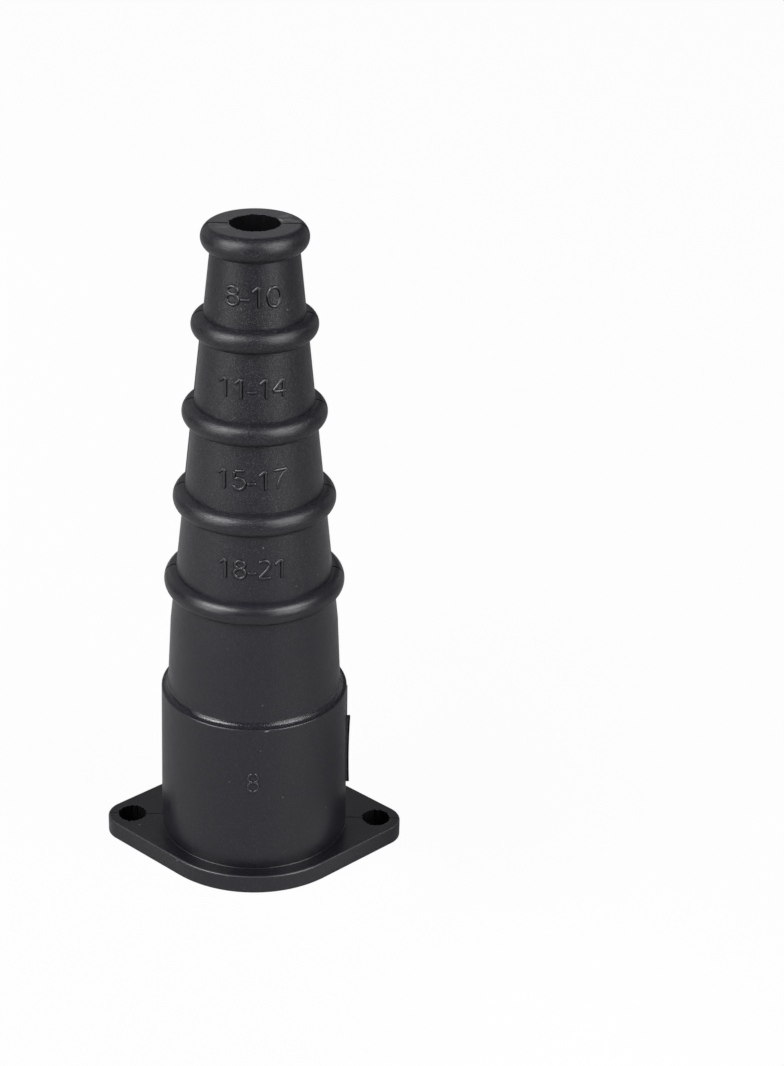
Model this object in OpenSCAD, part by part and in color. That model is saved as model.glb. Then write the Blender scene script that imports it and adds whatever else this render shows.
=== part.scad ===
// Conical cable bushing, moulded in one piece from black rubber
// A drafted base stands on a two-hole flange, and a neck and a cone with round beads rise from it.
// The cone is cut off just above the bead whose bore suits the cable.
// Origin at the centre of the flange's underside, +Z towards the cable's exit, bolt holes along X.

/* [Flange] */
// Thickness of the flange
flange_t = 3.6; // [3:0.1:5]
// Ledge of the flange around the foot of the base
flange_ledge = 2.7; // [1.5:0.1:4]
// Distance between the bolt holes
bolt_spacing = 47; // [45:0.5:54]
// Diameter of each bolt hole
bolt_hole_d = 5.3; // [4.2:0.1:6.4]
// Rubber around each bolt hole at the flange's ends
bolt_land = 1.95; // [1.5:0.05:3]

/* [Base] */
// Diameter of the base at its foot
base_d = 35.3; // [34:0.1:36.5]
// Height of the base above the flange
base_h = 29.6; // [24:0.2:36]
// Draft angle of the base
base_draft = 0.5; // [0.1:0.1:1]
// Wall of the base at its foot
base_wall = 3.65; // [3:0.05:4.2]
// Solid rubber between the base's bore and the level of its rim
base_roof = 3.5; // [3:0.1:6]

/* [Neck] */
// Radius of the hollow shoulder between the base and the neck
cove_r = 1.25; // [0.8:0.05:1.6]
// Height of the neck above the base's rim
neck_h = 13.8; // [10:0.2:20]
// Draft angle of the neck
neck_draft = 2.8; // [1.5:0.1:4]

/* [Cone and beads] */
// Half angle of the cone
cone_angle = 6; // [5.4:0.1:6.3]
// Number of beads below the lip
bead_count = 4; // [2:1:5]
// Height of the lowest bead above the neck
first_bead_h = 8.6; // [6:0.1:10]
// Distance from bead to bead
bead_pitch = 16.7; // [14:0.1:17.4]
// Distance from the highest bead to the lip
lip_pitch = 16.3; // [14:0.1:17.4]
// Radius of a bead's round section
bead_r = 2.25; // [2:0.05:2.6]
// How far a bead stands out from the cone
bead_proud = 1.98; // [1.5:0.02:2.2]
// Radius of the lip's round section
lip_r = 2.4; // [2:0.05:2.8]
// How far the lip stands out from the cone
lip_proud = 1.8; // [1.4:0.05:2.2]
// Height of the lip's crown that is flattened
lip_flat = 0.15; // [0.1:0.05:0.4]

/* [Bore] */
// Diameter of the bore in the neck
neck_bore_d = 23; // [21:0.1:24]
// How much narrower the bore is after each bead
bore_step = 3.5; // [3.2:0.1:3.7]
// Angle between the axis and the funnel that joins two bores
funnel_angle = 35; // [20:1:50]

/* [Moulding gate] */
// Height of the trimmed gate on the side of the base
gate_h = 14.3; // [8:0.1:18]
// Thickness of the gate
gate_t = 1; // [0.6:0.1:2]
// How far the gate's ends stand out from the base
gate_proud = 0.65; // [0.3:0.05:1]
// How much the gate's cut edge hollows in between its ends
gate_scoop = 0.15; // [0.05:0.05:0.25]

/* [Hidden] */
$fn = 96;

// How far a cutting shape runs past the surface that it cuts
over = 1;

// Flange: a round middle and two round ends, joined by straight tangents
flange_mid_r = base_d / 2 + flange_ledge;
flange_end_r = bolt_hole_d / 2 + bolt_land;
tangent_angle = asin((flange_mid_r - flange_end_r) / (bolt_spacing / 2));
tangent_normal = [sin(tangent_angle), cos(tangent_angle)];

// Base, neck and cone, from the flange upwards
base_r = base_d / 2;
rim_z = flange_t + base_h;
rim_r = base_r - base_h * tan(base_draft);
neck_z = rim_z + cove_r;
neck_r = rim_r - cove_r;
knee_z = rim_z + neck_h;
knee_r = neck_r - (knee_z - neck_z) * tan(neck_draft);
lip_z = bead_z(bead_count - 1) + lip_pitch;
top_z = lip_z + lip_r - lip_flat;

// Outer radius of the cone at a height
function cone_r(z) = knee_r - (z - knee_z) * tan(cone_angle);

// Height of a bead's centre, counted from the lowest
function bead_z(i) = knee_z + first_bead_h + i * bead_pitch;

// Bores: section 0 is the neck, and each bead narrows the next one
base_bore_r = base_r - base_wall;
base_bore_z = rim_z - base_roof;
function bore_r(i) = (neck_bore_d - i * bore_step) / 2;
function bore_end_z(i) = i < bead_count ? bead_z(i) + bead_r : top_z + over;
function funnel_h(r_wide, r_narrow) = (r_wide - r_narrow) / tan(funnel_angle);
function bore_start_z(i) = i == 0
    ? base_bore_z + funnel_h(base_bore_r, bore_r(0))
    : bore_end_z(i - 1) + funnel_h(bore_r(i - 1), bore_r(i));

// Gate: centred on the height of the base, with its root inside the wall
gate_mid_z = flange_t + base_h / 2;
gate_root_r = rim_r - base_wall / 2;
gate_edge_r = base_r - (base_h / 2) * tan(base_draft) + gate_proud;
gate_scoop_r = (pow(gate_h / 2, 2) + pow(gate_scoop, 2)) / (2 * gate_scoop);

// Outline of the flange
module flange_outline() {
    circle(r = flange_mid_r);
    for (side = [-1, 1]) {
        bolt = [side * bolt_spacing / 2, 0];
        front = [side * tangent_normal.x, -tangent_normal.y];
        rear = [side * tangent_normal.x, tangent_normal.y];
        translate(bolt)
            circle(r = flange_end_r);
        polygon([
            flange_mid_r * front,
            bolt + flange_end_r * front,
            bolt + flange_end_r * rear,
            flange_mid_r * rear
        ]);
    }
}

// Half section of one round bead on the cone
module bead_section(z, r, proud) {
    translate([cone_r(z) + proud - r, z])
        circle(r = r);
}

// Half section of the outside, from the axis outwards
module outside_section() {
    difference() {
        union() {
            polygon([
                [0, 0],
                [base_r, 0],
                [base_r, flange_t],
                [rim_r, rim_z],
                [rim_r, neck_z],
                [neck_r, neck_z],
                [knee_r, knee_z],
                [cone_r(top_z), top_z],
                [0, top_z]
            ]);
            for (i = [0 : bead_count - 1])
                bead_section(bead_z(i), bead_r, bead_proud);
            bead_section(lip_z, lip_r, lip_proud);
        }
        translate([rim_r, neck_z])
            circle(r = cove_r);
        translate([0, top_z])
            square([base_r, lip_r]);
    }
}

// Half section of the stepped bore that runs right through
module bore_section() {
    polygon([
        [0, -over],
        [base_bore_r, -over],
        [base_bore_r, base_bore_z],
        for (i = [0 : bead_count])
            for (z = [bore_start_z(i), bore_end_z(i)])
                [bore_r(i), z],
        [0, top_z + over]
    ]);
}

// Trimmed gate on the parting plane, with a slightly hollow cut edge
module gate() {
    translate([0, gate_t / 2, gate_mid_z])
        rotate([90, 0, 0])
            linear_extrude(gate_t)
                difference() {
                    translate([gate_root_r, -gate_h / 2])
                        square([gate_edge_r - gate_root_r, gate_h]);
                    translate([gate_edge_r - gate_scoop + gate_scoop_r, 0])
                        circle(r = gate_scoop_r);
                }
}

module bolt_holes() {
    for (side = [-1, 1])
        translate([side * bolt_spacing / 2, 0, -over])
            cylinder(d = bolt_hole_d, h = flange_t + 2 * over);
}

module bushing() {
    color("#2c2c2e")
        difference() {
            union() {
                linear_extrude(flange_t)
                    flange_outline();
                rotate_extrude()
                    outside_section();
                gate();
            }
            rotate_extrude()
                bore_section();
            bolt_holes();
        }
}

bushing();
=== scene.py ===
import bpy
import bmesh
import math
import random
from mathutils import Euler, Matrix, Vector, geometry


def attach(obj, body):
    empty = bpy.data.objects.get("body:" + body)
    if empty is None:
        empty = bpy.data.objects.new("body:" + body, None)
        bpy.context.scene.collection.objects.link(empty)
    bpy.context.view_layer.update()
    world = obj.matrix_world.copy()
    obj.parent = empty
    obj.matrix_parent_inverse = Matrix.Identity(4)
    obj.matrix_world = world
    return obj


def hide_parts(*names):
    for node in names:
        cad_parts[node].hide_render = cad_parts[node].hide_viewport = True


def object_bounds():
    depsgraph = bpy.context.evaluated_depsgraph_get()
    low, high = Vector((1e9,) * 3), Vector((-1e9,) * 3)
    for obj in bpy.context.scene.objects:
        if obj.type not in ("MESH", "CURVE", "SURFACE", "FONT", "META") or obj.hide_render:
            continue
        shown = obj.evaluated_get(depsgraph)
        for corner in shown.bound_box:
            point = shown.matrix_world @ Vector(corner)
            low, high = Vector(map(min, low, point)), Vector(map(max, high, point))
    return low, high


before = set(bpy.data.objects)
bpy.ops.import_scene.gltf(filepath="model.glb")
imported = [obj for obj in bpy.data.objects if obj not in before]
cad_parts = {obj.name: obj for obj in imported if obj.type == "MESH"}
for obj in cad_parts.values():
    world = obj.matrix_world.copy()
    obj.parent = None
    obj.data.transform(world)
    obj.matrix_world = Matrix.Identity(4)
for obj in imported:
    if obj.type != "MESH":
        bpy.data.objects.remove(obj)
cadLow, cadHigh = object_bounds()  # box of the solids, before anything is dressed
mm = 0.001
scene = bpy.context.scene
print("frame loaded", list(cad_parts), [round(v / mm, 1) for v in cadHigh - cadLow])


# small helpers for working the way one does by hand
def setMode(mode):
    bpy.ops.object.mode_set(mode=mode)


def selectAll():
    bpy.ops.mesh.select_all(action="SELECT")


def deselectAll():
    if bpy.context.mode != "OBJECT":
        setMode("OBJECT")
    bpy.ops.object.select_all(action="DESELECT")


def makeActive(piece):
    deselectAll()
    piece.select_set(True)
    bpy.context.view_layer.objects.active = piece


def applyModifiers(piece):
    makeActive(piece)
    for modifier in list(piece.modifiers):
        bpy.ops.object.modifier_apply(modifier=modifier.name)


# helpers for materials: an input is given a number or colour, or the socket that feeds it
def feed(tree, node, inputs):
    for name, value in inputs.items():
        if isinstance(value, bpy.types.NodeSocket):
            tree.links.new(value, node.inputs[name])
        else:
            node.inputs[name].default_value = value


def addNode(tree, kind, inputs=None, **settings):
    node = tree.nodes.new("ShaderNode" + kind)
    for name, value in settings.items():
        setattr(node, name, value)
    feed(tree, node, inputs or {})
    return node


def newMaterial(name):
    material = bpy.data.materials.new(name)
    material.use_nodes = True
    tree = material.node_tree
    return material, tree, addNode(tree, "TexCoord").outputs["Object"]


def remap(tree, value, span, to=(0, 1), **settings):
    ends = {"From Min": span[0], "From Max": span[1], "To Min": to[0], "To Max": to[1]}
    return addNode(tree, "MapRange", {"Value": value, **ends}, **settings).outputs["Result"]


def compute(tree, operation, *values, **settings):
    node = addNode(tree, "Math", dict(enumerate(values)), operation=operation, **settings)
    return node.outputs[0]


def awayFrom(tree, place, middle):
    return addNode(tree, "VectorMath", {0: place, 1: middle}, operation="DISTANCE").outputs["Value"]


def noise(tree, place, s):
    inputs = {"Scale": s["scale"], "Detail": s["detail"], "Roughness": s.get("rough", 0.5)}
    return addNode(tree, "TexNoise", {"Vector": place, **inputs}).outputs["Fac"]


def blend(tree, share, first, second):
    return addNode(tree, "Mix", {"Factor": share, 6: first, 7: second}, data_type="RGBA").outputs[2]


# camera, solved from the outline in the photograph
cameraSet = {
    "distance": 378.3 * mm,  # level distance from the bushing's axis
    "height": 254.8 * mm,
    "tilt": 23.0,  # degrees below level
    "azimuth": 1.7,  # towards the right-hand bolt hole
    "roll": 0.1,
    "sensor": 36,  # along the picture's long side
    "lens": 78.12,
    "shift": (0.1288, -0.14074),
    "clip": (0.01, 20),
}


def makeCamera(s):
    turn = math.radians(s["azimuth"])
    place = (s["distance"] * math.sin(turn), -s["distance"] * math.cos(turn), s["height"])
    bpy.ops.object.camera_add(location=place)
    camera = bpy.context.object
    camera.name = "photoCamera"
    level = Euler((math.radians(90 - s["tilt"]), 0, turn)).to_matrix()
    roll = Matrix.Rotation(math.radians(s["roll"]), 3, "Z")
    camera.rotation_euler = (level @ roll).to_euler()
    camera.data.sensor_width = s["sensor"]
    camera.data.lens = s["lens"]
    camera.data.shift_x, camera.data.shift_y = s["shift"]
    camera.data.clip_start, camera.data.clip_end = s["clip"]
    scene.camera = camera


makeCamera(cameraSet)
print("camera set")


# white studio cove
coveSet = {
    "radius": 4.0,
    "height": 3.0,
    "sides": 96,
    "roughness": 0.9,
    "paintedShadeGreys": (0.39, 0.3),  # painted shade: the paper greys off to the right
    "span": 0.1,
    "paintedLightPatches": [  # painted pools of light and shadows on the paper: place, reach, paler or darker
        ((0.058, -0.058, 0), 0.06, 0.2),
        ((0.042, 0.01, 0), 0.052, -0.27),
        ((0.046, 0.066, 0), 0.045, -0.16),
        ((0.027, -0.012, 0), 0.013, 0.13),
        ((0.014, -0.021, 0), 0.022, 0.11),
        ((-0.045, 0.014, 0), 0.047, -0.05),
        ((-0.16, 0.33, 0), 0.24, 0.13),
    ],
    "shaded": [(-0.0235, 0, 0), (0.0235, 0, 0)],  # under the bolt holes
    "shadeReach": 4 * mm,
    "seenWhite": 0.97,
    "mirroredWhite": 0.06,
}


def studioWhite(s):
    material, tree, place = newMaterial("studioWhite")
    paper = tree.nodes["Principled BSDF"]
    across = addNode(tree, "SeparateXYZ", {"Vector": place}).outputs["X"]
    # painted light and shade on the paper, seen mirrored in the rubber
    grey = remap(tree, across, (-s["span"], s["span"]), s["paintedShadeGreys"])
    for middle, reach, change in s["paintedLightPatches"]:
        away = awayFrom(tree, place, middle)
        near = remap(tree, away, (0, reach), (change, 0), interpolation_type="SMOOTHSTEP")
        grey = compute(tree, "ADD", grey, near)
    feed(tree, paper, {"Base Color": grey, "Roughness": s["roughness"]})
    path = addNode(tree, "LightPath")
    share = 0
    for ray, part in (("Is Camera Ray", "seenWhite"), ("Is Glossy Ray", "mirroredWhite"),
                      ("Is Transmission Ray", "mirroredWhite")):
        share = compute(tree, "MULTIPLY_ADD", path.outputs[ray], s[part], share)
    for middle in s["shaded"]:
        clear = compute(tree, "GREATER_THAN", awayFrom(tree, place, middle), s["shadeReach"])
        share = compute(tree, "MULTIPLY", share, clear)
    glow = addNode(tree, "Emission").outputs["Emission"]
    mix = addNode(tree, "MixShader", {"Fac": share, 1: paper.outputs["BSDF"], 2: glow})
    feed(tree, tree.nodes["Material Output"], {"Surface": mix.outputs["Shader"]})
    return material


def makeCove(s):
    deselectAll()
    bpy.ops.mesh.primitive_circle_add(vertices=s["sides"], radius=s["radius"], fill_type="NGON")
    cove = bpy.context.object
    cove.name = "studioCove"
    setMode("EDIT")
    selectAll()
    bpy.ops.mesh.region_to_loop()
    bpy.ops.mesh.extrude_region_move(TRANSFORM_OT_translate={"value": (0, 0, s["height"])})
    setMode("OBJECT")
    cove.data.materials.append(studioWhite(s))


# a soft light and a low one at each side of the camera, and weak ones from behind
lampReach = 0.9
lampSet = [
    # azimuth from the camera's side, + to the right; power in watts
    {"name": "softLeft", "azimuth": -54, "elevation": 41, "wide": 0.52, "tall": 0.34, "power": 8.7},
    {"name": "softRight", "azimuth": 54, "elevation": 41, "wide": 0.54, "tall": 0.34, "power": 6.5},
    {"name": "lowLeft", "azimuth": -56, "elevation": 12, "wide": 0.5, "tall": 0.3, "power": 3.0},
    {"name": "lowRight", "azimuth": 47, "elevation": 12, "wide": 0.46, "tall": 0.3, "power": 3.4},
    {"name": "backWall", "azimuth": -152, "elevation": 28, "wide": 1.4, "tall": 0.6, "power": 0.78},
    {"name": "sideLeft", "azimuth": -138, "elevation": 8, "wide": 0.4, "tall": 0.25, "power": 0.15},
    {"name": "sideRight", "azimuth": 138, "elevation": 8, "wide": 0.4, "tall": 0.25, "power": 0.18},
]
wallSet = {"colour": (0.08, 0.08, 0.09, 1)}


def makeLamps(lamps):
    middle = (cadLow + cadHigh) / 2
    for s in lamps:
        side, up = math.radians(s["azimuth"]), math.radians(s["elevation"])
        away = Vector((math.sin(side) * math.cos(up), -math.cos(side) * math.cos(up), math.sin(up)))
        bpy.ops.object.light_add(type="AREA", location=middle + away * lampReach)
        lamp = bpy.context.object
        lamp.name = s["name"]
        lamp.data.shape = "RECTANGLE"
        lamp.data.size = s["wide"]
        lamp.data.size_y = s["tall"]
        lamp.data.energy = s["power"]
        lamp.rotation_euler = (-away).to_track_quat("-Z", "Y").to_euler()
        lamp.visible_camera = False


def makeWorld(s):
    world = bpy.data.worlds.new("studioWalls")
    world.use_nodes = True
    world.node_tree.nodes["Background"].inputs["Color"].default_value = s["colour"]
    scene.world = world
    scene.view_settings.view_transform = "Standard"


makeCove(coveSet)
makeLamps(lampSet)
makeWorld(wallSet)
print("studio lit")


# black moulded rubber: a fine grain, stronger on the cone, with dust and faint clouding
rubberSet = {
    "colour": (0.003, 0.0028, 0.0056, 1),  # of the cone's top
    "smooth": (0.0086, 0.0083, 0.0119, 1),  # of the neck, base and flange
    "coneSpan": (52 * mm, 112 * mm),  # heights from the one to the other
    "paintedFlangeShade": (0.0042, 0.0042, 0.0064, 1),  # painted shade on the flange's top and the base's foot
    "paintedFlangeShadeSpans": ((3.5 * mm, 3.58 * mm), (6 * mm, 3.7 * mm)),  # heights where the painted shade starts, and where it fades up the base
    "grain": {"scale": 5200, "detail": 2, "rough": 0.6, "depth": 0.06 * mm},  # of 0.2 mm
    "crest": {"colour": (0.041, 0.041, 0.045, 1), "span": (0.52, 0.68)},  # rubbed tops of the grain, and the colour of the painted highlights on edges and strokes
    # trimmed face of the lip
    "cut": {"colour": (0.0215, 0.0214, 0.0242, 1), "span": (124.1 * mm, 124.2 * mm)},
    "smear": {  # where the blade dragged over that face: place and reach in millimetres
        "spots": [((6.3, 3.0, 124.25), 3.0), ((-5.6, -1.4, 124.25), 2.4)],
        "core": 0.3,  # share of the reach that is fully smeared
        "turn": 6,
        "stretch": (0.4, 1, 1),
        "scale": 900,
        "detail": 3,
        "depth": 0.12 * mm,
        "colours": ((0.002, 0.002, 0.003, 1), (0.07, 0.07, 0.074, 1)),
        "span": (0.4, 0.65),
    },
    "dust": {  # most cells stay clean, the others differ in strength
        "colour": (0.2, 0.19, 0.16, 1),
        "scale": 505,
        "size": (0.08, 0.045),
        "cells": (0.76, 1),
        "most": 0.7,
    },
    "cloud": {"scale": 700, "detail": 4, "span": (0.3, 0.7)},
    "roughness": (0.275, 0.34),
    "rougher": 0.055,  # at the cone's top
    # the cove is glossier, most of all on the left: change of roughness, places across, heights
    "polish": {
        "change": (-0.15, -0.04),
        "across": (-6 * mm, 8 * mm),
        "from": 33.2 * mm,
        "to": 34.4 * mm,
    },
    "ior": 1.45,
}


def blackRubber(s):
    material, tree, place = newMaterial("blackRubber")
    axes = addNode(tree, "SeparateXYZ", {"Vector": place})
    across, height = axes.outputs["X"], axes.outputs["Z"]
    grained, wearAndHighlight, chip = [addNode(tree, "Attribute", attribute_name=name).outputs["Fac"]
                           for name in ("grain", "wearAndHighlight", "chip")]
    grain = noise(tree, place, s["grain"])
    onCone = remap(tree, height, s["coneSpan"], interpolation_type="SMOOTHSTEP")

    # smears across the trimmed face of the lip
    drag = s["smear"]
    trimmed = remap(tree, height, s["cut"]["span"])
    smeared = 0
    for middle, reach in drag["spots"]:
        away = awayFrom(tree, place, Vector(middle) * mm)
        span = (reach * mm, drag["core"] * reach * mm)
        near = remap(tree, away, span, interpolation_type="SMOOTHSTEP")
        smeared = compute(tree, "MULTIPLY_ADD", near, trimmed, smeared)
    turn = (0, 0, math.radians(drag["turn"]))
    along = addNode(tree, "Mapping", {"Vector": place, "Rotation": turn, "Scale": drag["stretch"]})
    streak = noise(tree, along.outputs["Vector"], drag)

    # relief
    depth = s["grain"]["depth"]
    bump = addNode(tree, "Bump", {"Strength": grained, "Distance": depth, "Height": grain})
    relief = addNode(tree, "Bump", {
        "Strength": smeared,
        "Distance": drag["depth"],
        "Height": streak,
        "Normal": bump.outputs["Normal"],
    })

    # clouded gloss, duller up the cone and polished in the cove
    polish = s["polish"]
    middle, half = (polish["from"] + polish["to"]) / 2, (polish["to"] - polish["from"]) / 2
    gloss = remap(tree, noise(tree, place, s["cloud"]), s["cloud"]["span"], s["roughness"])
    gloss = compute(tree, "MULTIPLY_ADD", onCone, s["rougher"], gloss)
    inCove = compute(tree, "COMPARE", height, middle, half)
    change = remap(tree, across, polish["across"], polish["change"])
    gloss = compute(tree, "MULTIPLY_ADD", inCove, change, gloss)

    # colour: plain rubber, painted shade on the flange's top and the base's foot, the trimmed face,
    # rubbed grain with painted highlights on worn edges, dust and pale chips
    colour = blend(tree, onCone, s["smooth"], s["colour"])
    # painted shade: darker on the flange's top, fading out up the foot of the base
    start, fade = [remap(tree, height, span) for span in s["paintedFlangeShadeSpans"]]
    colour = blend(tree, compute(tree, "MULTIPLY", start, fade), colour, s["paintedFlangeShade"])
    dragged = blend(tree, remap(tree, streak, drag["span"]), *drag["colours"])
    colour = blend(tree, trimmed, colour, blend(tree, smeared, s["cut"]["colour"], dragged))
    # rubbed grain tops, plus painted highlights, partly wear, where the wear attribute is set
    crest = remap(tree, grain, s["crest"]["span"])
    rubbedAndHighlit = compute(tree, "MULTIPLY_ADD", crest, grained, wearAndHighlight, use_clamp=True)
    colour = blend(tree, rubbedAndHighlit, colour, s["crest"]["colour"])
    dust = s["dust"]
    specks = addNode(tree, "TexVoronoi", {"Vector": place, "Scale": dust["scale"]})
    small = remap(tree, specks.outputs["Distance"], dust["size"])
    tint = addNode(tree, "SeparateColor", {"Color": specks.outputs["Color"]})
    few = remap(tree, tint.outputs["Red"], dust["cells"], (0, dust["most"]))
    dusted = compute(tree, "MULTIPLY_ADD", small, few, chip, use_clamp=True)
    colour = blend(tree, dusted, colour, dust["colour"])
    feed(tree, tree.nodes["Principled BSDF"], {
        "Base Color": colour,
        "Roughness": gloss,
        "IOR": s["ior"],
        "Normal": relief.outputs["Normal"],
    })
    return material


# painted shade: a near-black, dull rubber, never rubbed, put in the bores and other hollows and
# creases where shade falls
paintedShadeRubberSet = {
    "colours": ((0.0006, 0.0006, 0.0009, 1), (0.004, 0.004, 0.0048, 1)),
    "scale": 900,
    "detail": 4,
    "roughness": 0.85,
    "specular": 0.06,
}


def paintedShadeRubber(s):
    material, tree, place = newMaterial("paintedShadeRubber")
    feed(tree, tree.nodes["Principled BSDF"], {
        "Base Color": blend(tree, noise(tree, place, s), *s["colours"]),
        "Roughness": s["roughness"],
        "Specular IOR Level": s["specular"],
    })
    return material


# raised numbers: rubbed smooth
numberRubberSet = dict(rubberSet, roughness=(0.22, 0.26))
rubber, numberRubber = blackRubber(rubberSet), blackRubber(numberRubberSet)
# bore holds the painted-shade rubber
bore = paintedShadeRubber(paintedShadeRubberSet)
paintedShadeIndex = 1


def dress(piece, skin):
    piece.data.materials.clear()
    piece.data.materials.append(skin)
    piece.data.materials.append(bore)
    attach(piece, "root")


# points of a section in millimetres
def arc(centre, half, start, end, steps=14):
    turns = [math.radians(start + (end - start) * i / steps) for i in range(steps + 1)]
    return [(centre[0] + half[0] * math.cos(t), centre[1] + half[1] * math.sin(t)) for t in turns]


def run(start, end, step=1.5):
    count = max(1, round(math.dist(start, end) / step))
    return [tuple(p + (q - p) * i / count for p, q in zip(start, end)) for i in range(1, count + 1)]


# a line drawn by extruding the selected point from place to place
def extrudeAlong(spots):
    for last, spot in zip(spots, spots[1:]):
        bpy.ops.mesh.extrude_vertices_move(TRANSFORM_OT_translate={"value": spot - last})


# the turned body: stepped bore, lip, beaded cone, neck, cove and base, as in the solid
turnedSet = {
    "bores": [(14, 0, 29.7), (11.5, 33.27, 57.85), (9.75, 60.35, 74.55), (8, 77.05, 91.25),
              (6.25, 93.75, 107.95), (4.5, 110.45, 124.25)],  # radius, from, to
    "seat": 0.01,  # a hair above the flange's underside, so that no two faces coincide
    "seatEdge": 0.2,
    "mouthEdge": 0.12,
    "mouthWall": 0.45,  # ragged depth of the mouth
    "lip": {"z": 121.88, "r": 2.5, "proud": 1.9},
    "beads": [{"z": z, "r": 2.25, "proud": 1.98} for z in (105.7, 89.0, 72.3, 55.6)],
    "knee": (15.528, 47.0),
    "cone": 6.0,  # half angle
    "neck": (16.142, 34.45),
    "cove": 1.25,
    "rimEdge": 0.28,
    "rimWall": 0.2,
    "foot": 17.65,
    "footFillet": 0.17,
    "ledge": 3.6,  # the flange's top
    "sunk": [(17.75, 3.4), (17.65, 3.3)],  # inside the flange
    "steps": 192,
    "weld": 1e-7,  # points closer than this become one
}


def coneAt(s, z):
    return s["knee"][0] - (z - s["knee"][1]) * math.tan(math.radians(s["cone"]))


def bodySection(s):
    lean = math.radians(s["cone"])

    def bead(b, upper=None):
        centre = (coneAt(s, b["z"]) + b["proud"] - b["r"], b["z"])
        reach = math.degrees(math.acos((b["r"] - b["proud"]) * math.cos(lean) / b["r"]))
        start, end = upper or s["cone"] + reach, s["cone"] - reach
        return arc(centre, (b["r"], b["r"]), start, end, steps=26)

    # up the bore to the mouth
    section = [(s["bores"][0][0] + s["seatEdge"], s["seat"])]
    for radius, low, high in s["bores"]:
        low = max(low, s["seatEdge"])
        section += [(radius, low)] + run((radius, low), (radius, high), step=3)
    mouth, top = section.pop()
    edge = s["mouthEdge"]
    section += [(mouth, top - s["mouthWall"])]
    section += arc((mouth + edge, top - edge), (edge, edge), 180, 90, steps=4)

    # over the lip, and down the cone and the neck
    lip = s["lip"]
    around = bead(lip, math.degrees(math.asin((top - lip["z"]) / lip["r"])))
    section += run(section[-1], around[0], step=0.2)[:-1] + around
    for b in s["beads"]:
        around = bead(b)
        section += run(section[-1], around[0])[:-1] + around
    section += run(section[-1], s["knee"]) + run(s["knee"], s["neck"])

    # cove, rim, base and foot
    cove, edge = s["cove"], s["rimEdge"]
    rim = s["neck"][0] + cove
    turned = math.degrees(math.acos(edge / cove))
    section += arc((rim, s["neck"][1]), (cove, cove), 180, 180 + turned, steps=12)[1:]
    section += arc((rim - edge, section[-1][1] - edge), (edge, edge), 90, 0, steps=5)[1:]
    section += [(section[-1][0], section[-1][1] - s["rimWall"])]
    foot, fillet = s["foot"], s["footFillet"]
    section += run(section[-1], (foot, s["ledge"] + fillet), step=2)
    section += arc((foot + fillet, s["ledge"] + fillet), (fillet, fillet), 180, 262, steps=5)[1:]
    return section + s["sunk"] + [(foot, s["seat"])]


def turnBody(s):
    deselectAll()
    bpy.ops.mesh.primitive_plane_add(size=0.1 * mm)
    body = bpy.context.object
    body.name = "moulding"
    spots = [Vector((r, 0, z)) * mm for r, z in bodySection(s)]
    setMode("EDIT")
    bpy.ops.mesh.merge(type="CENTER")
    bpy.ops.transform.translate(value=spots[0])
    extrudeAlong(spots + spots[:1])
    selectAll()
    bpy.ops.mesh.remove_doubles(threshold=s["weld"])
    bpy.ops.mesh.spin(steps=s["steps"], angle=2 * math.pi, center=(0, 0, 0), axis=(0, 0, 1))
    selectAll()
    bpy.ops.mesh.remove_doubles(threshold=s["weld"])
    bpy.ops.mesh.normals_make_consistent(inside=False)
    setMode("OBJECT")
    return body


# ragged edges of the mouth and of the bolt holes: teeth stand in or out, and fade off outwards
raggedSet = {
    "mouth": 4.5,
    "from": 124.0,  # heights of the mouth's edge
    "to": 125,
    "teeth": (-0.1, 0.32),
    "count": 96,
    "fade": 1.2,
    "seed": 7,
}


def rag(piece, s, middle, radius, low, high):
    chance = random.Random(s["seed"])
    makeActive(piece)
    setMode("EDIT")
    mesh = bmesh.from_edit_mesh(piece.data)
    least, most = s["teeth"]
    teeth = [least + (most - least) * chance.random() ** 2 for tooth in range(s["count"])]
    moved = set()
    for point in mesh.verts:
        across, deep, up = point.co.x / mm - middle, point.co.y / mm, point.co.z / mm
        away = math.hypot(across, deep)
        if low < up < high and away < radius + s["fade"]:
            turn = (math.atan2(deep, across) / math.pi + 1) / 2
            tooth = teeth[int(turn * s["count"]) % s["count"]]
            grow = 1 + tooth * (1 - (away - radius) / s["fade"]) / away
            point.co.x, point.co.y = (middle + across * grow) * mm, deep * grow * mm
            moved.add(point)
    bpy.ops.mesh.select_mode(type="FACE")
    for face in mesh.faces:
        face.select_set(not moved.isdisjoint(face.verts))
    bmesh.update_edit_mesh(piece.data)
    bpy.ops.mesh.quads_convert_to_tris()
    setMode("OBJECT")


# the flange: three discs in one hull, rounded edges, then the holes
flangeSet = {
    "thick": 3.6,
    "middle": 20.35,
    "end": 4.6,
    "bolts": 23.5,
    "hole": 2.65,
    "well": 15.8,  # filled by the base
    "edge": 0.36,
    "over": 1,  # how far a cutting disc runs past
    "sides": {"middle": 256, "end": 96, "well": 96, "hole": 64},
    "level": 0.1,  # degrees: faces that meet at less become one
    "sharp": 60,  # degrees: edges sharper than this are rounded
}


def disc(radius, x, low, high, sides):
    bpy.ops.mesh.primitive_cylinder_add(vertices=sides, radius=radius * mm, depth=(high - low) * mm,
                                        location=(x * mm, 0, (low + high) / 2 * mm))


def booleanWith(piece, tool, how):
    cut = piece.modifiers.new(how.lower(), "BOOLEAN")
    cut.operation = how
    cut.solver = "EXACT"
    cut.object = tool
    applyModifiers(piece)
    bpy.data.objects.remove(tool)


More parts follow.
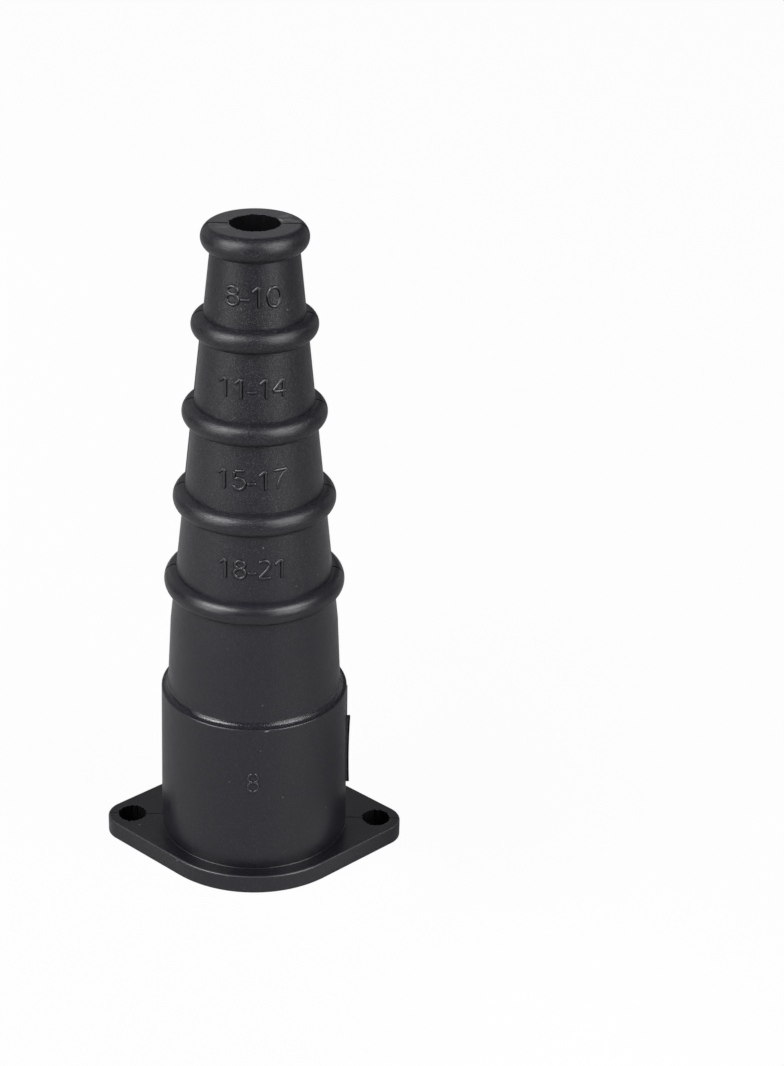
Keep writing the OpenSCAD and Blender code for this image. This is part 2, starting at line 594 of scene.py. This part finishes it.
def makeFlange(s):
    thick, over, bolts, sides = s["thick"], s["over"], s["bolts"], s["sides"]
    deselectAll()
    disc(s["middle"], 0, 0, thick, sides["middle"])
    flange = bpy.context.object
    setMode("EDIT")
    for side in (-1, 1):
        disc(s["end"], side * bolts, 0, thick, sides["end"])
    selectAll()
    bpy.ops.mesh.convex_hull()
    selectAll()
    bpy.ops.mesh.dissolve_limited(angle_limit=math.radians(s["level"]))
    mesh = bmesh.from_edit_mesh(flange.data)
    for edge in mesh.edges:
        edge.select_set(edge.is_manifold and edge.calc_face_angle() > math.radians(s["sharp"]))
    bmesh.update_edit_mesh(flange.data)
    bpy.ops.mesh.bevel(offset=s["edge"] * mm, segments=4, affect="EDGES")
    setMode("OBJECT")
    for x, name in ((0, "well"), (-bolts, "hole"), (bolts, "hole")):
        deselectAll()
        disc(s[name], x, -over, thick + over, sides[name])
        tool = bpy.context.object
        if x:  # ragged at its upper end
            bpy.ops.object.transform_apply(location=True, rotation=True, scale=True)
            rag(tool, raggedSet, x, s[name], thick + over / 2, thick + over * 1.5)
        booleanWith(flange, tool, "DIFFERENCE")
    return flange


# the trimmed gate on the parting plane, slightly hollow along its cut edge
gateSet = {
    "low": 11.95,
    "high": 26.12,
    "root": 16.5,
    "edge": 18.17,
    "thick": 1.0,
    "bevel": 0.1,
    "cut": 0.3,
    "hollow": 0.15,
    "hollowReach": 0.5,
    "steps": 24,
}


def makeGate(s):
    deselectAll()
    bpy.ops.mesh.primitive_cube_add(size=1)
    gate = bpy.context.object
    wide, tall = s["edge"] - s["root"], s["high"] - s["low"]
    gate.scale = (wide * mm, s["thick"] * mm, tall * mm)
    gate.location = ((s["edge"] + s["root"]) / 2 * mm, 0, (s["low"] + s["high"]) / 2 * mm)
    bpy.ops.object.transform_apply(location=True, rotation=True, scale=True)
    setMode("EDIT")
    selectAll()
    bpy.ops.mesh.bevel(offset=s["bevel"] * mm, segments=2, affect="EDGES")
    selectAll()
    bpy.ops.mesh.bisect(plane_co=((s["edge"] - s["cut"]) * mm, 0, 0), plane_no=(1, 0, 0))
    for step in range(1, s["steps"]):
        selectAll()
        height = s["low"] + tall * step / s["steps"]
        bpy.ops.mesh.bisect(plane_co=(0, 0, height * mm), plane_no=(0, 0, 1))
    mesh = bmesh.from_edit_mesh(gate.data)
    for point in mesh.verts:
        if point.co.x > (s["edge"] - s["hollowReach"]) * mm:
            along = (point.co.z / mm - s["low"]) / tall * 2 - 1
            point.co.x -= s["hollow"] * mm * (1 - along * along)
    bmesh.update_edit_mesh(gate.data)
    setMode("OBJECT")
    return gate


# the solver leaves points and faces in any order, so they are put in the same one in each run
sortWay = Vector((0.739, 1.325, 0.567))


def putInOrder(piece):
    makeActive(piece)
    setMode("EDIT")
    mesh = bmesh.from_edit_mesh(piece.data)
    mesh.verts.sort(key=lambda point: point.co.dot(sortWay))
    mesh.edges.sort(key=lambda edge: (edge.verts[0].co + edge.verts[1].co).dot(sortWay))
    mesh.faces.sort(key=lambda face: face.calc_center_median().dot(sortWay))
    bmesh.update_edit_mesh(piece.data)
    setMode("OBJECT")


# fine line where the two halves of the mould met, all round in the plane of the bolt holes
partingSet = {
    "half": 0.09 * mm,
    "wide": 0.2 * mm,
    "deep": 0.14 * mm,
    "flash": 0.15 * mm,
    "flashed": [(1, 26.3, 32.8), (-1, 75, 86), (-1, 92, 103)],  # side, from, to: a fin, no groove
    "bore": 4.8,  # the line stays outside it
    "lowest": 0.5,
    "widened": 50,  # height from which the groove is wider
    "boltGap": 0.4,
    "boltTop": 3.7,
    "level": 0.9,  # faces that look up this squarely are grooved too
    "onPlane": 1e-6,
    "cut": 1e-7,
    "weld": 2e-6,
}


def selectPoints(piece, test):
    bpy.ops.mesh.select_mode(type="VERT")
    bpy.ops.mesh.select_all(action="DESELECT")
    mesh = bmesh.from_edit_mesh(piece.data)
    for point in mesh.verts:
        point.select_set(test(point))
    bmesh.update_edit_mesh(piece.data)
    return [point.index for point in mesh.verts if point.select]


def cutPartingLine(piece, s, flange):
    makeActive(piece)
    setMode("EDIT")
    for offset in (-s["wide"], -s["half"], 0, s["half"], s["wide"]):
        selectAll()
        bpy.ops.mesh.bisect(plane_co=(0, offset, 0), plane_no=(0, 1, 0), threshold=s["cut"])
    selectAll()
    bpy.ops.mesh.remove_doubles(threshold=s["weld"])

    def byFlash(point, least):
        across, up = point.co.x / mm, point.co.z / mm
        return any(side * across > least and low < up < high for side, low, high in s["flashed"])

    def onFlash(point):
        facesOut = point.normal.x * point.co.x > 0
        return abs(point.co.y) < s["onPlane"] and facesOut and byFlash(point, s["bore"])

    def onLine(point):
        across, up = abs(point.co.x) / mm, point.co.z / mm
        facesOut = point.normal.x * point.co.x > 0 or point.normal.z > s["level"]
        atBolt = abs(across - flange["bolts"]) < flange["hole"] + s["boltGap"] and up < s["boltTop"]
        reach = s["half"] if up > s["widened"] else 0
        inLine = abs(point.co.y) < reach + s["onPlane"] and up > s["lowest"] and across > s["bore"]
        return inLine and facesOut and not atBolt and not byFlash(point, 0)

    chosen = selectPoints(piece, onLine)
    bpy.ops.transform.shrink_fatten(value=-s["deep"])
    selectPoints(piece, onFlash)
    bpy.ops.transform.shrink_fatten(value=s["flash"])
    setMode("OBJECT")
    line = piece.data.attributes.new("partingLine", "FLOAT", "POINT")
    for index in chosen:
        line.data[index].value = 1.0


shadeSet = {"sharp": 32, "weight": 60}


def shadeEvenly(piece, s):
    makeActive(piece)
    bpy.ops.object.shade_smooth_by_angle(angle=math.radians(s["sharp"]))
    even = piece.modifiers.new("evenShading", "WEIGHTED_NORMAL")
    even.keep_sharp = True
    even.weight = s["weight"]
    applyModifiers(piece)


# pale marks: a chip on the rim, and a shred that the cut left at the mouth
chipSet = [
    {"from": (2.7, -17.16, 33.0), "to": (2.98, -17.11, 33.0), "wide": 0.11, "share": 0.9},
    {"from": (4.15, 2.3, 124.2), "to": (5.0, 0.35, 124.2), "wide": 0.13, "share": 0.8},
]


def markChips(piece, chips):
    chip = piece.data.attributes.new("chip", "FLOAT", "POINT")
    for s in chips:
        start, end = Vector(s["from"]), Vector(s["to"])
        for point in piece.data.vertices:
            spot = point.co / mm
            near, share = geometry.intersect_point_line(spot, start, end)
            if 0 <= share <= 1 and (spot - near).length < s["wide"]:
                chip.data[point.index].value = s["share"]


# worn edges of the flange and of the rim, lightened: partly wear, partly a painted highlight along
# each edge
wearAndHighlightSet = {
    "edges": [(3.45, 3.59, 0.7), (32.92, 33.15, 0.18)],  # from, to, share
    "outside": 17.2,
    "up": 0.1,  # only where the rubber looks upwards, the lit side for the painted highlight
    "spread": (0.6, 1),
    "seed": 3,
}


def paintWearAndHighlight(piece, s):
    wearAndHighlight = piece.data.attributes.new("wearAndHighlight", "FLOAT", "POINT")
    chance = random.Random(s["seed"])
    for point in piece.data.vertices:
        outside = math.hypot(point.co.x, point.co.y) / mm > s["outside"]
        for low, high, share in s["edges"]:
            if low < point.co.z / mm < high and outside and point.normal.z > s["up"]:
                wearAndHighlight.data[point.index].value = share * chance.uniform(*s["spread"])


# share of the grain: little below the cone, more towards the lip, and less on the beads
grainSet = {
    "start": 48,
    "full": 76,
    "low": 0.4,
    "bead": (0.85, 0.9),
    "beadStep": 0.1,  # what stands out further from the cone is a bead
    "cut": (124.2, 0.9),
    "cove": (33, 34.6, 0.5),
    "tip": (112.5, 119.6, 0.76),
}


def paintGrain(piece, s):
    grain = piece.data.attributes.new("grain", "FLOAT", "POINT")
    for point in piece.data.vertices:
        out, up = math.hypot(point.co.x, point.co.y) / mm, point.co.z / mm
        rise = min(1, max(0, (up - s["start"]) / (s["full"] - s["start"])))
        share = s["low"] + (1 - s["low"]) * rise
        if up > s["start"] and out > coneAt(turnedSet, up) + s["beadStep"]:
            share *= s["bead"][0] + (s["bead"][1] - s["bead"][0]) * rise
        if up > s["cut"][0]:
            share = s["cut"][1]
        elif s["cove"][0] < up < s["cove"][1]:
            share = s["cove"][2]
        elif s["tip"][0] < up < s["tip"][1]:
            share *= s["tip"][2]
        grain.data[point.index].value = share


# painted shade: near-black in the parting line, on the gate,
# and on faces that look towards the axis of the bore or of a bolt hole
paintedShadePlaces = {
    "inward": -0.3,
    "below": 124.2,
    "hole": {"reach": 0.35, "upright": 0.7, "from": 0.1, "to": 3.58},
    "gate": {"out": 17.75, "half": 0.6, "from": 11, "to": 26.4},
}


def paintShadeInHollows(piece, s, bolts, radius):
    line = piece.data.attributes["partingLine"].data
    hole, gate = s["hole"], s["gate"]
    for face in piece.data.polygons:
        spot, way = face.center / mm, face.normal
        atBolt = math.hypot(abs(spot.x) - bolts, spot.y) < radius + hole["reach"]
        across = spot.x - (math.copysign(bolts, spot.x) if atBolt else 0)
        inward = across * way.x + spot.y * way.y < s["inward"] * math.hypot(across, spot.y)
        inHole = atBolt and way.z < hole["upright"] and hole["from"] < spot.z < hole["to"]
        inLine = any(line[index].value > 0.5 for index in face.vertices)
        byGate = spot.x > gate["out"] and abs(spot.y) < gate["half"]
        onGate = byGate and gate["from"] < spot.z < gate["to"]
        if inLine or onGate or inHole or (inward and spot.z < s["below"]):
            face.material_index = paintedShadeIndex


moulding = turnBody(turnedSet)
rag(moulding, raggedSet, 0, raggedSet["mouth"], raggedSet["from"], raggedSet["to"])
booleanWith(moulding, makeFlange(flangeSet), "UNION")
booleanWith(moulding, makeGate(gateSet), "UNION")
putInOrder(moulding)
cutPartingLine(moulding, partingSet, flangeSet)
shadeEvenly(moulding, shadeSet)
markChips(moulding, chipSet)
paintWearAndHighlight(moulding, wearAndHighlightSet)
paintGrain(moulding, grainSet)
dress(moulding, rubber)
paintShadeInHollows(moulding, paintedShadePlaces, flangeSet["bolts"], flangeSet["hole"])
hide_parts("bushing")
print("moulding made", len(moulding.data.polygons), "faces")


# raised cable sizes on the cone and a cavity number on the base
# digits are drawn in millimetres from the foot of each,
# as strokes or as loops (centre, half width, half height)
digitSet = {
    "0": {"loops": [((0, 1.68), 1.07, 1.7)]},
    "1": {"strokes": [[(-1.24, 2.56), (0.04, 3.64)], [(0, 3.62), (0, -0.12)]]},
    "2": {"strokes": [arc((0.95, 2.76), (1.0, 0.76), 160, -20) + [(1.5, 1.8), (0, 0.25)],
                      [(0, 0.22), (2.26, 0.3)]]},
    "4": {"strokes": [[(0.05, 3.5), (-1.8, 1.25)], [(-1.8, 1.25), (0.6, 1.15)], [(0, 3.5), (0, 0)]]},
    "5": {"strokes": [[(0, 3.45), (1.82, 3.65)], [(0, 3.45), (-0.02, 2.15)],
                      arc((0.75, 1.17), (1.1, 1.03), 135, -170, steps=20)]},
    "7": {"strokes": [[(-0.68, 3.56), (1.93, 3.63)], arc((3.9, 0.1), (3.6, 4.1), 121, 180)]},
    "8": {"loops": [((0.02, 2.72), 0.87, 0.7), ((0, 1.1), 0.99, 0.92)]},
    "tall 8": {"loops": [((0, 2.87), 0.85, 0.85), ((0, 1.1), 0.93, 0.92)]},  # on the base
    "-": {"strokes": [[(-0.15, 1.22), (1.6, 1.26)]]},
}
# crease: how squarely a face may look out and still be shaded, at the left and right of a stroke
coneRow = {"stroke": 0.33, "sunk": 0.01, "grow": 1, "lift": 0.2, "crease": (0.77, 0.84)}
# wear: how strongly the tops of the strokes are lightened, a painted highlight and partly wear;
# lift: how much of it reaches faces that do not look up
numberSet = [
    dict(coneRow, foot=111.92, wearAndHighlight=0.8, crease=(0.77, 0.7),
         digits=[("8", -3.65), ("-", -2.17), ("1", 0.96), ("0", 3.58)]),
    dict(coneRow, foot=95.5, wearAndHighlight=0.75,
         digits=[("1", -4.76), ("1", -2.04), ("-", -0.88), ("1", 2.34), ("4", 5.23)]),
    dict(coneRow, foot=78.82, wearAndHighlight=0.65,
         digits=[("1", -4.95), ("5", -3.2), ("-", -0.86), ("1", 2.3), ("7", 4.17)]),
    dict(coneRow, foot=62.14, wearAndHighlight=0.65,
         digits=[("1", -4.76), ("8", -2.2), ("-", -0.74), ("2", 1.18), ("1", 5.28)]),
    dict(stroke=0.26, sunk=0.02, grow=1.06, lift=1, crease=(0.3, 0.3), foot=20.1, wearAndHighlight=0.32,
         digits=[("tall 8", 0.35)]),
]
drawSet = {
    "front": -60 * mm,  # drawn flat in front of the bushing
    "step": 0.12,
    "loop": 56,
    "thinnest": 0.02,
    "rounds": 3,
    "weld": 1e-6,
}


def drawDigit(shape, x, s):
    grow = s["grow"]

    def placed(spot):
        across, up = x + spot[0] * grow, s["foot"] + spot[1] * grow
        return Vector((across * mm, drawSet["front"], up * mm))

    for stroke in shape.get("strokes", []):
        line = stroke[:1]
        for last, spot in zip(stroke, stroke[1:]):
            line += run(last, spot, drawSet["step"])
        spots = [placed(spot) for spot in line]
        bpy.ops.mesh.primitive_plane_add(size=0.1 * mm, location=spots[0])
        bpy.ops.mesh.merge(type="CENTER")
        extrudeAlong(spots)
    for centre, wide, high in shape.get("loops", []):
        middle = placed(centre)
        bpy.ops.mesh.primitive_circle_add(vertices=drawSet["loop"], radius=mm, location=middle,
                                          rotation=(math.pi / 2, 0, 0))
        bpy.ops.transform.resize(value=(wide * grow, 1, high * grow), center_override=middle)


def roundEnds(curve, reach):
    for spline in curve.splines:
        if spline.use_cyclic_u:
            continue
        spots = [point.co.to_3d() for point in spline.points]
        along = [0.0]
        for last, spot in zip(spots, spots[1:]):
            along.append(along[-1] + (spot - last).length)
        for point, gone in zip(spline.points, along):
            near = min(gone, along[-1] - gone, reach) / reach
            point.radius = math.sqrt(max(drawSet["thinnest"], 1 - (1 - near) ** 2))


def makeNumber(s, name):
    deselectAll()
    bpy.ops.mesh.primitive_plane_add(size=mm)
    number = bpy.context.object
    number.name = name
    setMode("EDIT")
    bpy.ops.mesh.delete(type="VERT")
    for digit, x in s["digits"]:
        drawDigit(digitSet[digit], x, s)
    setMode("OBJECT")
    lay = number.modifiers.new("layOn", "SHRINKWRAP")
    lay.target = moulding
    lay.wrap_method = "PROJECT"
    lay.use_project_y = True
    lay.use_positive_direction = True
    applyModifiers(number)
    bpy.ops.object.convert(target="CURVE")
    roundEnds(number.data, s["stroke"] * mm)
    number.data.bevel_depth = s["stroke"] * mm
    number.data.bevel_resolution = drawSet["rounds"]
    number.data.use_fill_caps = True
    bpy.ops.object.convert(target="MESH")
    setMode("EDIT")
    selectAll()
    bpy.ops.mesh.remove_doubles(threshold=drawSet["weld"])
    bpy.ops.transform.translate(value=(0, s["sunk"] * mm, 0))
    bpy.ops.mesh.normals_make_consistent(inside=False)
    setMode("OBJECT")
    bpy.ops.object.transform_apply(location=True, rotation=True, scale=True)
    bpy.ops.object.shade_smooth()
    dress(number, numberRubber)
    return number


# painted highlight along the tops of the strokes where they look out and up, partly wear, and
# painted shade in the creases beside them
strokeSet = {"front": 0.5, "slope": 2, "right": 0.3, "upward": 0.16}


def shadeNumber(number, row, s):
    wearAndHighlight = number.data.attributes.new("wearAndHighlight", "FLOAT", "POINT")
    for point in number.data.vertices:
        # painted highlight: lighter where a stroke looks out and up
        if -point.normal.y > s["front"]:
            rubbedAndHighlit = min(1, max(0, point.normal.z * s["slope"] + row["lift"]))
            wearAndHighlight.data[point.index].value = row["wearAndHighlight"] * rubbedAndHighlit
    # painted shade: crease faces beside the strokes get the near-black rubber
    for face in number.data.polygons:
        out = Vector((face.center.x, face.center.y, 0)).normalized()
        onRight = face.normal.dot((-out.y, out.x, 0)) > s["right"]
        if face.normal.dot(out) < row["crease"][onRight] and face.normal.z < s["upward"]:
            face.material_index = paintedShadeIndex


for count, row in enumerate(numberSet, 1):
    number = makeNumber(row, "raisedNumber%d" % count)
    shadeNumber(number, row, strokeSet)
    digits = "".join(digit for digit, x in row["digits"])
    print("number made", digits, len(number.data.polygons), "faces")
